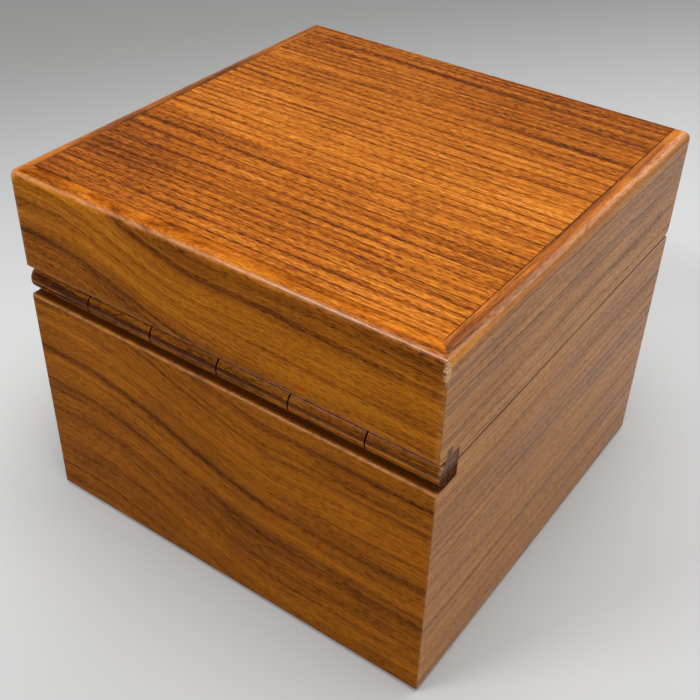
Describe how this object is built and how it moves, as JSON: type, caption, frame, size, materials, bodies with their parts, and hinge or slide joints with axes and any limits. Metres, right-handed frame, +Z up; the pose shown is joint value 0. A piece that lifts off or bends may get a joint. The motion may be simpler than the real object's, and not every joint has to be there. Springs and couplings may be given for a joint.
{
  "type": "wooden puzzle box",
  "caption": "Square wooden puzzle box with a knuckled wooden hinge, a sliding top panel over a hidden tray, and a sliding front board that hides the lock bolt.",
  "frame": {"origin": "centre of the underside, on the surface that the box stands on", "axes": "+Z up, front towards -Y, wooden hinge towards +Y, +X to the right seen from the front"},
  "size_m": [0.12, 0.12, 0.101],
  "materials": {
    "top_panel_wood": "glossy varnish, straight dark grain and open pores",
    "board_wood": "glossy varnish, long dark grain",
    "side_wood": "glossy varnish, long dark grain",
    "inner_wood": "plain sanded wood",
    "hinge_wood": "dark satin wood, end grain at the ends",
    "brass": "brushed brass",
    "steel": "plain steel wire",
    "rail_wood": "waxed wood"
  },
  "bodies": {
    "base": {"base_left_wall": "side_wood", "base_right_wall": "side_wood", "base_back_wall": "board_wood", "base_front_core": "inner_wood", "base_bottom_panel": "inner_wood", "base_hinge_leaf": "hinge_wood", "hinge_pin": "steel"},
    "lid": {"lid_front_wall": "board_wood", "lid_back_wall": "board_wood", "lid_left_wall": "side_wood", "lid_right_wall": "side_wood", "lid_tray_floor": "inner_wood", "lid_hinge_leaf": "hinge_wood", "strike_plate": "brass", "strike_screws": "brass"},
    "top_panel": {"lid_top_panel": "top_panel_wood", "panel_stop_dowel": "inner_wood"},
    "front_panel": {"front_slide_panel": "board_wood", "slide_rail_lower": "rail_wood", "slide_rail_upper": "rail_wood"},
    "lock_bolt": {"lock_bolt": "rail_wood", "lock_bolt_nose": "steel"},
    "tilt_pin": {"tilt_pin": "steel"}
  },
  "joints": [
    {"name": "lid_hinge", "type": "hinge", "parent": "base", "child": "lid", "pos_m": [0, 0.05605, 0.0699], "axis": [-1, 0, 0], "range_deg": [0, 90]},
    {"name": "top_panel_slide", "type": "slide", "parent": "lid", "child": "top_panel", "axis": [0, -1, 0], "range_m": [0, 0.034]},
    {"name": "front_panel_slide", "type": "slide", "parent": "base", "child": "front_panel", "axis": [1, 0, 0], "range_m": [0, 0.03]},
    {"name": "bolt_slide", "type": "slide", "parent": "base", "child": "lock_bolt", "axis": [1, 0, 0], "range_m": [0, 0.008]},
    {"name": "tilt_pin_drop", "type": "slide", "parent": "base", "child": "tilt_pin", "axis": [0, -1, 0], "range_m": [0, 0.003]}
  ]
}
